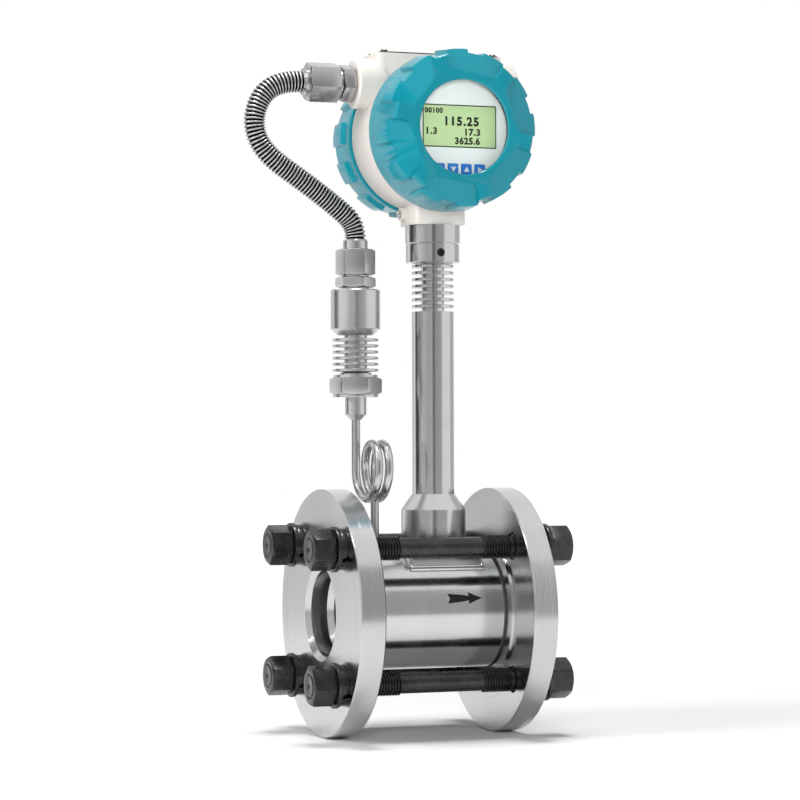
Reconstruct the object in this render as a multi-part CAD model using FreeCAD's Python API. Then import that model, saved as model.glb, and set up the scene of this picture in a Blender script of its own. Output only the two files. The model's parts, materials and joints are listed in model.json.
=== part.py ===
import FreeCAD, Part
import math
import os

V = FreeCAD.Vector
X, Y, Z = V(1, 0, 0), V(0, 1, 0), V(0, 0, 1)
BACK = V(0, -1, 0)
CLEAR = 400.0  # longer than any piece, for cuts that go right through

# The frame: the origin is the centre of the inlet socket at its outer face,
# X runs with the flow, Z is up, and the display looks along -Y. All sizes are in mm.

# Pipe run
pipe_od = 57.0
socket_clearance = 0.2
socket_depth = 14.6
socket_chamfer = 3.3
bore = 50.0
flange_od = 165.0
flange_thickness = 17.0
raised_face_od = 97.0
raised_face_height = 2.0
flange_edge = 0.8
bolt_circle = 125.0
bolt_hole = 18.0
bolt_count = 4
gasket_od = 75.0
gasket_thickness = 1.5
body_od = 77.4
body_length = 96.0

# Studs, nuts and washers
stud_d = 16.0
shank_d = 13.6
stud_thread_length = 64.0
stud_end_chamfer = 1.2
stud_proud = 0.4
nut_flats = 24.0
nut_height = 15.3
flat_washer_od = 30.0
flat_washer_thickness = 3.0
spring_washer_od = 27.2
spring_washer_thickness = 4.1
spring_washer_slit = 2.6
thread_gap = 0.05

# Shedder bar and probe
bar_ahead = 20.0
bar_face = 14.0
bar_tail = 5.0
bar_length = 16.0
probe_blade = 3.6
probe_blade_length = 11.0
probe_reach = 20.0
probe_stem_d = 14.0
probe_rod_d = 9.0
probe_rod_length = 92.0
probe_head_d = 27.0
probe_head_height = 7.0

# Post
post_offset = 12.5
pad_length = 50.0
pad_width = 50.0
pad_top = 44.0
bead_d = 4.2
post_base_d = 44.0
post_base_height = 24.4
post_cone_height = 10.4
post_cone_d = 29.0
post_tube_d = 28.4
post_tube_bore = 22.0
post_tube_length = 123.0
neck_core_d = 15.6
neck_bore = 7.0
neck_fins = 7
neck_pitch = 4.52
neck_fin = 2.2
neck_first_fin = 3.5
neck_height = 32.8
neck_plug_length = 12.0
spigot_d = 28.0
running_gap = 0.1
clamp_collar_d = 36.3
clamp_collar_height = 12.9
collar_groove = 0.6
swivel_collar_d = 37.2
swivel_collar_height = 12.5
set_screw_d = 5.6
set_screw_turn = -93.0

# Pressure line
siphon_tube_d = 5.8
siphon_wall = 1.0
siphon_x = 25.5
siphon_turns = 2
siphon_pitch = 6.65
siphon_radius = 18.2
siphon_z = 94.6
siphon_corners = 8
siphon_boss_d = 14.0
siphon_boss_top = 46.0
siphon_boss_socket = 5.0
union_z = 128.7
union_d = 14.4
union_cone_height = 3.6
union_height = 15.2
union_spigot_d = 10.0
union_spigot_height = 7.0
hex_base_flats = 30.4
hex_base_collar_d = 30.4
hex_base_collar = 1.8
hex_base_height = 11.6
hex_base_top_d = 29.7
hex_base_top = 1.5
hex_base_turn = 39.5
capsule_d = 18.0
fins_hub_d = 21.7
fins_hub = 1.9
fins_core_d = 15.6
fins_d = 30.8
fins_count = 6
fins_pitch = 4.06
fins_thickness = 1.9
fins_height = 26.6
case_d = 33.2
case_height = 26.5
case_cone_height = 4.2
case_cone_d = 23.4
case_wall = 2.6
conduit_stub_d = 18.0
conduit_stub_height = 20.0
sensor_board_thickness = 1.6
sensor_board_height = 10.0
lock_nut_flats = 23.6
lock_nut_height = 7.2
lock_nut_gap = 1.1
lock_nut_turn = 34.5
conduit_nut_flats = 23.2
lower_nut_height = 17.5
lower_nut_turn = 40.0
ferrule_d = 16.8
ferrule_height = 6.3
ferrule_bore = 9.0

# Conduit, and its upper end
conduit_d = 13.6
adapter_flats = 22.6
adapter_hex = 9.2
adapter_turn = 11.0
adapter_thread_in = 13.0
adapter_neck = 1.8
adapter_bore = 10.0
upper_nut_flats = 24.0
upper_nut_length = 21.4
upper_nut_turn = 11.5
upper_ferrule_d = 18.3
upper_ferrule = 3.1

# Head
head_z = 321.0
neck_thread_d = 92.0
barrel_shoulder = 5.0
barrel_d = neck_thread_d + 2 * barrel_shoulder
barrel_width = 38.0
neck_thread_length = 12.0
neck_wall = 4.0
cavity_d = neck_thread_d - 2 * neck_wall
wall_front = 12.0
wall_thickness = 3.0
block_length = 90.0
block_width = 32.0
block_rise = 2.0
block_top = barrel_d / 2 + block_rise
block_corner = 5.0
stem_length = 36.0
stem_width = 32.0
stem_corner = 3.0
stem_bore = 18.0
entry_z = 33.0
entry_boss_d = 33.0
entry_boss_root_d = 36.0
entry_reach = 57.4
entry_thread_d = 18.4
entry_thread_length = 20.0
entry_hole_d = 14.0
ground_boss_d = 9.0
ground_boss_y = 7.0
ground_boss_gap = 2.0
ground_boss_drop = barrel_d / 2 + ground_boss_gap
ground_boss_height = 3.0
ground_screw_d = 5.6
ground_screw_head = 2.0
plate_length = 85.0
plate_width = 31.0
plate_thickness = 0.9
plate_screw_inset = 3.4
plate_screw_d = 2.4
plate_screw_head_d = 4.8
plate_screw_head = 1.5
plate_screw_grip = 5.0
screw_slot = 0.6

# Caps
cap_gap = 0.6
cap_reach = 60.0
cap_round = 2.4
cap_thread_gap = 0.3
cap_wall = 6.7
cap_d = neck_thread_d + 2 * (cap_thread_gap + cap_wall)
cap_taper = 3.6
cap_front_d = cap_d - 2 * cap_taper
cap_inner_step = 3.0
cap_cavity_d = neck_thread_d - 2 * cap_inner_step
cap_thread_depth = 14.0
cap_plate = 7.0
seal_width = 3.6
seal_recess_d = neck_thread_d + 2 * seal_width
seal_recess_depth = 2.6
seal_gap = 0.3
pad_count = 12
pad_phase = 4.0
pad_span = 15.0
pad_rise = 2.4
pad_start = 33.0
pad_end = 57.0
pocket_count = 6
pocket_phase = 19.0
pocket_half_turn = 23.5
pocket_inner = seal_recess_d / 2 - 13.6
pocket_depth = 1.0
pocket_slope = 14.0
pocket_corner = 5.0
window_margin = 14.75
window_d = neck_thread_d - 2 * window_margin
window_lip = 2.5
window_seat = 4.0
window_glass = 4.0
window_gasket_thickness = 0.5
window_ring_bore = window_d + 7.0
window_ring_thickness = 2.0

# Display
dial_front = 50.0
dial_thickness = 1.0
dial_margin = 4.0
dial_d = cavity_d - 2 * dial_margin
display_length = 52.0
display_height = 28.0
display_rise = 1.3
display_depth = 4.0
display_proud = 0.2
key_size = 7.3
key_pitch = 9.5
key_margin = 10.8
key_drop = dial_d / 2 - key_margin
key_gap = 0.2
key_depth = 4.0
key_proud = 0.6
key_count = 4
display_board_front = 44.0
board_thickness = 1.6
board_margin = 5.0
board_d = cavity_d - 2 * board_margin
main_board_front = 26.0
standoff_d = 5.0
standoff_circle = 62.0
standoff_angles = (50.0, 130.0, 215.0, 325.0)
wire_passage_d = 8.0
wire_passage_drop = 24.0
switch_size = 6.0
switch_height = 1.6
chip_size = 16.0
chip_height = 3.0
chip_x, chip_z = -8.0, 6.0
relay_length = 10.0
relay_width = 22.0
relay_height = 9.0
relay_x, relay_z = 16.0, -4.0
capacitor_d = 8.0
capacitor_height = 12.0
capacitor_x, capacitor_z = -14.0, -16.0
terminal_length = 46.0
terminal_height = 20.0
terminal_depth = 13.0
terminal_count = 5

# Places worked out from the sizes above
socket_r = pipe_od / 2 + socket_clearance
raised_face_x = flange_thickness + raised_face_height
body_start = raised_face_x + gasket_thickness
body_end = body_start + body_length
outlet_face_x = body_end + gasket_thickness
run_end = outlet_face_x + raised_face_x
post_x = (body_start + body_end) / 2 + post_offset
bar_x = post_x - bar_ahead
stack_height = spring_washer_thickness + flat_washer_thickness + nut_height
stud_reach = stack_height + stud_proud
post_base_top = pad_top + post_base_height
post_cone_top = post_base_top + post_cone_height
post_tube_top = post_cone_top + post_tube_length
collar_z = post_tube_top + neck_height
swivel_collar_z = collar_z + clamp_collar_height
stem_bottom = swivel_collar_z + swivel_collar_height
spigot_top = stem_bottom + 2.0
hex_base_z = union_z + union_height
hex_base_end = hex_base_z + hex_base_collar + hex_base_height + hex_base_top
case_z = hex_base_end + fins_height
case_top = case_z + case_cone_height + case_height
lock_nut_z = case_top + lock_nut_gap
lower_nut_z = lock_nut_z + lock_nut_height + lock_nut_gap
ferrule_z = lower_nut_z + lower_nut_height
conduit_low_z = ferrule_z + ferrule_height
siphon_end_x = siphon_x + siphon_turns * siphon_pitch
adapter_x = post_x - entry_reach - adapter_hex
upper_nut_x = adapter_x - adapter_neck
upper_ferrule_x = upper_nut_x - upper_nut_length
conduit_top_x = upper_ferrule_x - upper_ferrule
conduit_top_z = head_z + entry_z


# Basic forms

def outline(points):
    """A closed face in the XZ plane. A point given as two points is an arc through the first to the second."""
    at = lambda p: V(p[0], 0, p[1])
    edges, last = [], points[0]
    for step in list(points[1:]) + [points[0]]:
        if isinstance(step[0], tuple):
            edges.append(Part.Arc(at(last), at(step[0]), at(step[1])).toShape())
            last = step[1]
        elif math.dist(last, step) > 1e-6:
            edges.append(Part.LineSegment(at(last), at(step)).toShape())
            last = step
    return Part.Face(Part.Wire(edges))


def place(shape, base=V(0, 0, 0), axis=Z, turn=0.0):
    """The shape turned about its own Z, then laid along an axis with its foot at base."""
    shape = shape.copy()
    shape.rotate(V(0, 0, 0), Z, turn)
    turned_to = FreeCAD.Placement(base, FreeCAD.Rotation(Z, axis))
    shape.Placement = turned_to.multiply(shape.Placement)
    return shape


def turned(points, base=V(0, 0, 0), axis=Z):
    """A turned piece: points are (radius, height) along the axis."""
    return place(outline(points).revolve(V(0, 0, 0), Z, 360), base, axis)


def rod(d, length, base=V(0, 0, 0), axis=Z):
    return Part.makeCylinder(d / 2, length, base, axis)


def ring(d, hole, length, base=V(0, 0, 0), axis=Z):
    return rod(d, length, base, axis).cut(rod(hole, length, base, axis))


def block(length, width, height, centre, corner=0.0, along=Z):
    """A box round a centre, with its edges along one direction rounded."""
    box = Part.makeBox(length, width, height, centre - V(length, width, height) / 2)
    if corner:
        edges = [e for e in box.Edges if abs(e.tangentAt(e.FirstParameter).dot(along)) > 0.99]
        box = box.makeFillet(corner, edges)
    return box


def hexagon(flats, height, base, axis, turn=0.0, bevel=True):
    """A hexagon bar with the round bevel of a nut at both ends."""
    corner_r = flats / math.sqrt(3)
    corners = [V(corner_r * math.cos(math.radians(60 * k)), corner_r * math.sin(math.radians(60 * k)), 0)
               for k in range(7)]
    bar = Part.Face(Part.makePolygon(corners)).extrude(V(0, 0, height))
    if bevel:
        drop = (corner_r - flats / 2) * 0.6
        flat_r = flats / 2 - 0.3
        bar = bar.common(turned([(0, 0), (flat_r, 0), (corner_r, drop), (corner_r, height - drop),
                                 (flat_r, height), (0, height)]))
    return place(bar, base, axis, turn)


def around(shape, count, base, axis, phase=0.0):
    """Copies of a shape about an axis, evenly spaced."""
    copies = []
    for k in range(count):
        one = shape.copy()
        one.rotate(base, axis, phase + k * 360.0 / count)
        copies.append(one)
    return copies


def at_studs(shape):
    """Copies of a shape at the four studs, from one built on the pipe axis."""
    stands = []
    for k in range(bolt_count):
        angle = math.radians(360.0 / bolt_count * (k + 0.5))
        one = shape.copy()
        one.translate(V(0, math.cos(angle), math.sin(angle)) * (bolt_circle / 2))
        stands.append(one)
    return stands


def in_head(shape):
    shape.translate(V(post_x, 0, head_z))
    return shape


# Pipe run

def flange(base, axis):
    """A plate flange. Its outer face is at base, and the axis points into the meter."""
    shoulder = socket_r - bore / 2
    body = turned([
        (bore / 2, raised_face_x), (bore / 2, socket_depth + shoulder), (socket_r, socket_depth),
        (socket_r, socket_chamfer), (socket_r + socket_chamfer, 0),
        (flange_od / 2 - flange_edge, 0), (flange_od / 2, flange_edge),
        (flange_od / 2, flange_thickness - flange_edge), (flange_od / 2 - flange_edge, flange_thickness),
        (raised_face_od / 2, flange_thickness), (raised_face_od / 2 - 0.4, raised_face_x)], base, axis)
    return body.cut(at_studs(rod(bolt_hole, CLEAR, V(-CLEAR / 2, 0, 0), X)))


def gasket(x):
    return ring(gasket_od, bore + 1.0, gasket_thickness, V(x, 0, 0), X)


def meter_body():
    tube = ring(body_od, bore, body_length, V(body_start, 0, 0), X)
    return tube.cut(rod(probe_stem_d + 0.4, body_od, V(post_x, 0, 0)))


def shedder_bar():
    """A bluff bar, flat to the flow and narrowing behind, that ends on the wall of the bore."""
    half, tail = bar_face / 2, bar_tail / 2
    corners = [V(0, -half, 0), V(2, -half, 0), V(bar_length, -tail, 0), V(bar_length, tail, 0),
               V(2, half, 0), V(0, half, 0), V(0, -half, 0)]
    bar = Part.Face(Part.makePolygon(corners)).extrude(V(0, 0, bore + 4))
    bar.translate(V(bar_x - bar_length / 2, 0, -bore / 2 - 2))
    return bar.common(rod(bore, body_length, V(body_start, 0, 0), X))


def vortex_probe():
    """The sensing blade in the flow, its stem through the wall, its clamped head and its signal rod."""
    foot = bore / 2 - probe_reach
    blade = block(probe_blade_length, probe_blade, probe_reach + 4,
                  V(post_x, 0, foot + (probe_reach + 4) / 2), probe_blade * 0.4)
    stem_bottom_z = bore / 2 - 1
    stem = rod(probe_stem_d, pad_top - stem_bottom_z + 1, V(post_x, 0, stem_bottom_z))
    head = rod(probe_head_d, probe_head_height, V(post_x, 0, pad_top))
    signal = rod(probe_rod_d, probe_rod_length, V(post_x, 0, pad_top + probe_head_height - 1))
    return blade.fuse([stem, head, signal])


def siphon_boss():
    boss = turned([(0, 0), (siphon_boss_d / 2, 0), (siphon_boss_d / 2, siphon_boss_top - 1.5),
                   (siphon_boss_d / 2 - 1.5, siphon_boss_top), (0, siphon_boss_top)], V(siphon_end_x, 0, 0))
    boss = boss.cut(rod(body_od, body_length, V(body_start, 0, 0), X))
    return boss.cut(rod(siphon_tube_d + 2 * thread_gap, CLEAR, V(siphon_end_x, 0, siphon_boss_top - siphon_boss_socket)))


# Studs, nuts and washers, each set built on the pipe axis and copied to the four holes

def studs():
    near, far = -stud_reach, run_end + stud_reach
    r, core, c = stud_d / 2, shank_d / 2, stud_end_chamfer
    step = r - core
    body = turned([
        (0, near), (r - c, near), (r, near + c), (r, near + stud_thread_length),
        (core, near + stud_thread_length + step), (core, far - stud_thread_length - step),
        (r, far - stud_thread_length), (r, far - c), (r - c, far), (0, far)], V(0, 0, 0), X)
    return Part.makeCompound(at_studs(body))


def nuts(face_x, axis, turns):
    inner = spring_washer_thickness + flat_washer_thickness
    hole = rod(stud_d + 2 * thread_gap, CLEAR, V(-CLEAR / 2, 0, 0), X)
    made = []
    for k in range(bolt_count):
        nut = hexagon(nut_flats, nut_height, V(face_x, 0, 0) + axis * inner, axis, turns[k]).cut(hole)
        made.append(at_studs(nut)[k])
    return Part.makeCompound(made)


def flat_washers(face_x, axis):
    one = ring(flat_washer_od, stud_d + 1.0, flat_washer_thickness,
               V(face_x, 0, 0) + axis * spring_washer_thickness, axis)
    return Part.makeCompound(at_studs(one))


def spring_washers(face_x, axis, turn):
    """Split rings, with a slanted slit, squeezed flat under the nut."""
    one = ring(spring_washer_od, stud_d + 0.6, spring_washer_thickness)
    slit = block(spring_washer_od, spring_washer_slit, 4 * spring_washer_thickness,
                 V(spring_washer_od / 2, 0, spring_washer_thickness / 2))
    slit.rotate(V(0, 0, spring_washer_thickness / 2), X, 25)
    return Part.makeCompound(at_studs(place(one.cut(slit), V(face_x, 0, 0), axis, turn)))


# Post

def mounting_pad():
    """A block saddled on the body, with the probe's hole."""
    foot = math.sqrt((body_od / 2) ** 2 - (pad_width / 2) ** 2) - 1
    pad = block(pad_length, pad_width, pad_top - foot, V(post_x, 0, (pad_top + foot) / 2), 1.0)
    pad = pad.cut(rod(body_od, body_length, V(body_start, 0, 0), X))
    return pad.cut(rod(probe_stem_d + 0.4, CLEAR, V(post_x, 0, 0)))


def weld_bead():
    """The bead round the pad's foot: straight along the body, and round it at the two ends."""
    r = body_od / 2
    half = pad_length / 2
    swing = math.degrees(math.asin(pad_width / 2 / r))
    runs = []
    for side in (-1, 1):
        runs.append(rod(bead_d, pad_length, V(post_x - half, side * pad_width / 2,
                                              r * math.cos(math.radians(swing))), X))
        circle = Part.Face(Part.Wire(Part.makeCircle(bead_d / 2, V(post_x + side * half, 0, r), Y)))
        circle.rotate(V(0, 0, 0), X, -swing)
        runs.append(circle.revolve(V(0, 0, 0), X, 2 * swing))
        for end in (-1, 1):
            runs.append(Part.makeSphere(bead_d / 2, V(post_x + side * half, end * pad_width / 2,
                                                      r * math.cos(math.radians(swing)))))
    bead = runs[0].fuse(runs[1:])
    foot_block = block(pad_length, pad_width, 4 * r, V(post_x, 0, 0), 1.0)
    return bead.cut([rod(body_od, body_length, V(body_start, 0, 0), X), foot_block])


def post_base():
    """The turned boss on the pad, bored for the probe's head and coned in to the tube."""
    r, cone_r, tube_bore = post_base_d / 2, post_cone_d / 2, post_tube_bore / 2
    head_r = probe_head_d / 2 + 0.5
    return turned([
        (head_r, pad_top), (r, pad_top), (r, post_base_top), (cone_r, post_cone_top),
        (tube_bore, post_cone_top), (tube_bore, pad_top + probe_head_height + 8),
        (head_r, pad_top + probe_head_height + 4)], V(post_x, 0, 0))


def post_tube():
    return ring(post_tube_d, post_tube_bore, post_tube_length, V(post_x, 0, post_cone_top))


def finned_core(core_d, fin_d, count, pitch, thickness, first):
    """The outer profile of a stack of cooling fins, as steps from the bottom up."""
    steps = []
    for k in range(count):
        low = first + k * pitch - thickness / 2
        steps += [(core_d / 2, low), (fin_d / 2 - 0.3, low), (fin_d / 2, low + 0.3),
                  (fin_d / 2, low + thickness - 0.3), (fin_d / 2 - 0.3, low + thickness),
                  (core_d / 2, low + thickness)]
    return steps


def finned_neck():
    """The cooling neck, plugged into the tube and ending in the spigot that the head turns on."""
    plug_r = post_tube_bore / 2 - thread_gap
    spigot_r = spigot_d / 2 - running_gap
    fins = finned_core(neck_core_d, post_tube_d, neck_fins, neck_pitch, neck_fin, neck_first_fin)
    rest = neck_height - 0.3
    return turned(
        [(neck_bore / 2, -neck_plug_length), (plug_r, -neck_plug_length), (plug_r, 0), (neck_core_d / 2, 0)]
        + fins + [(neck_core_d / 2, rest), (spigot_r, rest), (spigot_r, spigot_top - post_tube_top),
                  (neck_bore / 2, spigot_top - post_tube_top)], V(post_x, 0, post_tube_top))


def clamp_collar():
    r, top = clamp_collar_d / 2, clamp_collar_height
    collar = turned([
        (spigot_d / 2, 0), (r - 0.5, 0), (r, 0.5), (r, top - collar_groove), (r - 1.0, top - collar_groove),
        (r - 1.0, top), (spigot_d / 2, top)], V(post_x, 0, collar_z))
    return collar.cut(set_screw_hole(set_screw_d))


def set_screw_hole(d):
    angle = math.radians(set_screw_turn)
    out = V(math.cos(angle), math.sin(angle), 0)
    return rod(d, clamp_collar_d, V(post_x, 0, collar_z + clamp_collar_height / 2), out)


def set_screw():
    """A short headless screw with a hexagon socket, sunk in the collar."""
    angle = math.radians(set_screw_turn)
    out = V(math.cos(angle), math.sin(angle), 0)
    inner = spigot_d / 2 + 0.1
    length = clamp_collar_d / 2 - 0.8 - inner
    centre = V(post_x, 0, collar_z + clamp_collar_height / 2)
    body = rod(set_screw_d - 2 * thread_gap, length, centre + out * inner, out)
    socket = hexagon(set_screw_d * 0.5, length, centre + out * (inner + length * 0.4), out, bevel=False)
    return body.cut(socket)


def swivel_collar():
    r, top = swivel_collar_d / 2, swivel_collar_height
    return turned([(spigot_d / 2, 0), (r - 0.6, 0), (r, 0.6), (r, top), (spigot_d / 2, top)],
                  V(post_x, 0, swivel_collar_z))


# Pressure line

def siphon_route():
    """Corners of the bent tube: a straight leg, a coil of two turns about X, and the other leg."""
    count = siphon_turns * siphon_corners
    step = 2 * math.pi / siphon_corners
    corner_r = siphon_radius / math.cos(step / 2)
    top = V(siphon_x, 0, union_z + union_cone_height + 4)
    low = V(siphon_end_x, 0, siphon_boss_top - siphon_boss_socket + 0.05)
    corners = []
    for k in range(count):
        turn = (k + 0.5) * step
        x = siphon_x + (siphon_end_x - siphon_x) * k / (count - 1)
        corners.append(V(x, -siphon_radius + corner_r * math.cos(turn), siphon_z - corner_r * math.sin(turn)))
    return [top] + corners + [low]


def bent_path(points, share, longest=1e9):
    """Straight runs joined by tangent arcs. The share of the shorter run each side of a corner is arc."""
    edges, radii, last = [], [], points[0]
    for before, corner, after in zip(points, points[1:], points[2:]):
        into, out = corner - before, after - corner
        half_turn = into.getAngle(out) / 2
        cut = min(share * min(into.Length, out.Length), longest)
        radii.append(cut / math.tan(half_turn))
        into, out = into.normalize(), out.normalize()
        start, end = corner - into * cut, corner + out * cut
        bisector = (out - into).normalize()
        depth = radii[-1] * (1 / math.cos(half_turn) - 1)
        edges.append(Part.LineSegment(last, start).toShape())
        edges.append(Part.Arc(start, corner + bisector * depth, end).toShape())
        last = end
    edges.append(Part.LineSegment(last, points[-1]).toShape())
    return Part.Wire(edges), radii


def pipe_along(wire, d, start, heading):
    section = Part.Wire(Part.makeCircle(d / 2, start, heading))
    return wire.makePipe(Part.Face(section))


def siphon_tube():
    points = siphon_route()
    wire, _ = bent_path(points, 0.49, siphon_radius * 0.4)
    return pipe_along(wire, siphon_tube_d, points[0], points[1] - points[0])


def siphon_union():
    """The coned weld fitting at the top of the siphon, with a spigot into the sensor's base."""
    r, tube_r, top = union_d / 2, siphon_tube_d / 2 + thread_gap, union_height
    spigot_r = union_spigot_d / 2
    return turned([
        (tube_r, 0), (tube_r + 0.8, 0), (r, union_cone_height), (r, top), (spigot_r, top),
        (spigot_r, top + union_spigot_height), (1.5, top + union_spigot_height),
        (1.5, union_cone_height + 4.2), (tube_r, union_cone_height + 4.2)], V(siphon_x, 0, union_z))


def sensor_hex_base():
    collar, hexagon_z = hex_base_collar, hex_base_z + hex_base_collar
    top_z = hexagon_z + hex_base_height
    base = rod(hex_base_collar_d, collar, V(siphon_x, 0, hex_base_z))
    bar = hexagon(hex_base_flats, hex_base_height, V(siphon_x, 0, hexagon_z), Z, hex_base_turn)
    cap = rod(hex_base_top_d, hex_base_top, V(siphon_x, 0, top_z))
    body = base.fuse([bar, cap])
    body = body.cut(rod(union_spigot_d + 2 * thread_gap, union_spigot_height, V(siphon_x, 0, hex_base_z)))
    return body.cut(rod(capsule_d, CLEAR, V(siphon_x, 0, hex_base_z + union_spigot_height)))


def sensor_capsule():
    z = hex_base_z + union_spigot_height
    return turned([(0, 0.6), (capsule_d / 2 - 1.5, 0.6), (capsule_d / 2 - 1.5, 0), (capsule_d / 2 - thread_gap, 0),
                   (capsule_d / 2 - thread_gap, hex_base_end - z), (0, hex_base_end - z)], V(siphon_x, 0, z))


def sensor_cooling_fins():
    fins = finned_core(fins_core_d, fins_d, fins_count, fins_pitch, fins_thickness, fins_hub + 1.2)
    top = fins_height
    return turned([(2, 0), (fins_hub_d / 2, 0), (fins_hub_d / 2, fins_hub * 0.6), (fins_core_d / 2, fins_hub)]
                  + fins[1:] + [(fins_core_d / 2, top), (2, top)], V(siphon_x, 0, hex_base_end))


def sensor_case():
    r, cone_r, cone, top = case_d / 2, case_cone_d / 2, case_cone_height, case_cone_height + case_height
    stub_r, inner_r = conduit_stub_d / 2, case_d / 2 - case_wall
    stub_top = top + conduit_stub_height
    return turned([
        (2, 0), (cone_r, 0), (r, cone), (r, top - 1), (r - 1, top), (stub_r, top), (stub_r, stub_top),
        (stub_r - 2, stub_top), (stub_r - 2, top - case_wall), (inner_r, top - case_wall),
        (inner_r, cone), (2, cone)], V(siphon_x, 0, case_z))


def sensor_board():
    z = case_z + case_cone_height + sensor_board_height
    inner = case_d - 2 * case_wall
    board = rod(inner - 0.2, sensor_board_thickness, V(siphon_x, 0, z))
    chip = block(10, 8, 2, V(siphon_x, 0, z + sensor_board_thickness + 1))
    return board.fuse(chip)


def threaded_nut(flats, height, hole, base, axis, turn):
    return hexagon(flats, height, base, axis, turn).cut(rod(hole + 2 * thread_gap, height, base, axis))


def ferrule(d, hole, height, base, axis):
    """A short sleeve with a lip that the conduit's end sits against."""
    return turned([(hole / 2, 0), (d / 2, 0), (d / 2, height - 0.8), (d / 2 - 0.8, height), (hole / 2, height)],
                  base, axis)


# The conduit's corners, by hand from the photograph: out of the head, round and down to the sensor
conduit_route = [
    (0.0, 0.0), (-13.5, 0.0), (-29.0, -9.5), (-35.0, -30.0), (-26.0, -49.0),
    (1.0, -66.5), (23.5, -82.5)]
conduit_last_corner = 10.4


def flexible_conduit():
    top = V(conduit_top_x, 0, conduit_top_z)
    low = V(siphon_x, 0, conduit_low_z)
    points = [top + V(x, 0, z) for x, z in conduit_route]
    points += [low + V(0, 0, conduit_last_corner), low]
    wire, radii = bent_path(points, 0.45)
    tube = pipe_along(wire, conduit_d, points[0], points[1] - points[0])
    runs = [(b - a).Length for a, b in zip(points, points[1:])]
    print("conduit runs", [round(run, 1) for run in runs])
    print("conduit radii", [round(radius, 1) for radius in radii])
    print("conduit length", round(wire.Length, 1), "volume ratio",
          round(tube.Volume / (math.pi * (conduit_d / 2) ** 2 * wire.Length), 4))
    return tube


def entry_adapter():
    """Threaded into the head's left entry, with a hexagon and a male thread for the conduit nut."""
    face = post_x - entry_reach
    inner = rod(entry_thread_d - 2 * thread_gap, adapter_thread_in + adapter_hex,
                V(face + adapter_thread_in, 0, conduit_top_z), -X)
    bar = hexagon(adapter_flats, adapter_hex, V(face, 0, conduit_top_z), -X, adapter_turn)
    outer = rod(conduit_stub_d, adapter_neck + upper_nut_length * 0.7, V(adapter_x, 0, conduit_top_z), -X)
    return inner.fuse([bar, outer]).cut(rod(adapter_bore, CLEAR, V(face + adapter_thread_in + 1, 0, conduit_top_z), -X))


# Head, built round its own centre and then lifted onto the post

def barrel_forms():
    half = barrel_width / 2
    barrel = rod(barrel_d, barrel_width, V(0, -half, 0), Y)
    threads = rod(neck_thread_d, barrel_width + 2 * neck_thread_length, V(0, -half - neck_thread_length, 0), Y)
    top = block(block_length, block_width, block_top, V(0, 0, block_top / 2), block_corner)
    reach = head_z - stem_bottom
    stem = block(stem_length, stem_width, reach, V(0, 0, -reach / 2), stem_corner)
    return [barrel, threads, top, stem]


def entry_boss(side):
    root = block_length / 2 - 6
    return turned([(0, 0), (entry_boss_root_d / 2, 0), (entry_boss_d / 2, entry_reach - root - 4),
                   (entry_boss_d / 2, entry_reach - root - 1), (entry_boss_d / 2 - 1, entry_reach - root),
                   (0, entry_reach - root)], V(side * root, 0, entry_z), X * side)


def ground_boss():
    return rod(ground_boss_d, ground_boss_height + 4,
               V(-stem_length / 2 + 4, ground_boss_y, -ground_boss_drop), -X)


def plate_screw_places():
    dx, dy = plate_length / 2 - plate_screw_inset, plate_width / 2 - plate_screw_inset
    return [V(sx * dx, sy * dy, block_top) for sx in (-1, 1) for sy in (-1, 1)]


def housing():
    """The cast housing: two threaded mouths with a wall between, a flat top, two entries and a stem."""
    half = barrel_width / 2 + neck_thread_length
    forms = barrel_forms() + [entry_boss(-1), entry_boss(1), ground_boss()]
    body = forms[0].fuse(forms[1:])
    cuts = [
        rod(cavity_d, half - wall_front, V(0, -half, 0), Y),
        rod(cavity_d, half + wall_front - wall_thickness, V(0, wall_thickness - wall_front, 0), Y),
        rod(spigot_d, spigot_top - stem_bottom + running_gap, V(0, 0, stem_bottom - head_z)),
        rod(stem_bore, head_z - stem_bottom - cavity_d / 4, V(0, 0, stem_bottom - head_z)),
        rod(ground_screw_d * 0.5, 8, V(-stem_length / 2 - ground_boss_height, ground_boss_y, -ground_boss_drop), X)]
    for side in (-1, 1):
        mouth = V(side * entry_reach, 0, entry_z)
        cuts.append(rod(entry_thread_d, entry_thread_length, mouth, X * -side))
        cuts.append(rod(entry_hole_d, entry_reach - cavity_d / 4, mouth, X * -side))
    cuts += [rod(plate_screw_d, plate_screw_grip + 1, place_of, -Z) for place_of in plate_screw_places()]
    passage = rod(wire_passage_d, 2 * wall_front, V(0, -2 * wall_front, -wire_passage_drop), Y)
    return in_head(body.cut(cuts + [passage]))


def top_plate():
    plate = block(plate_length, plate_width, plate_thickness, V(0, 0, block_top + plate_thickness / 2), 2.0)
    holes = [rod(plate_screw_d + 0.2, CLEAR, spot - Z * 5) for spot in plate_screw_places()]
    return in_head(plate.cut(holes))


def plate_screws():
    made = []
    for spot in plate_screw_places():
        seat = spot + Z * plate_thickness
        head = turned([(0, 0), (plate_screw_head_d / 2, 0), (plate_screw_head_d / 2, plate_screw_head * 0.5),
                       (plate_screw_head_d / 2 - 0.6, plate_screw_head), (0, plate_screw_head)], seat)
        slot = block(plate_screw_head_d, screw_slot, plate_screw_head, seat + Z * plate_screw_head)
        shank = rod(plate_screw_d - 2 * thread_gap, plate_thickness + plate_screw_grip, seat, -Z)
        made.append(head.cut(slot).fuse(shank))
    return in_head(Part.makeCompound(made))


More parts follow.
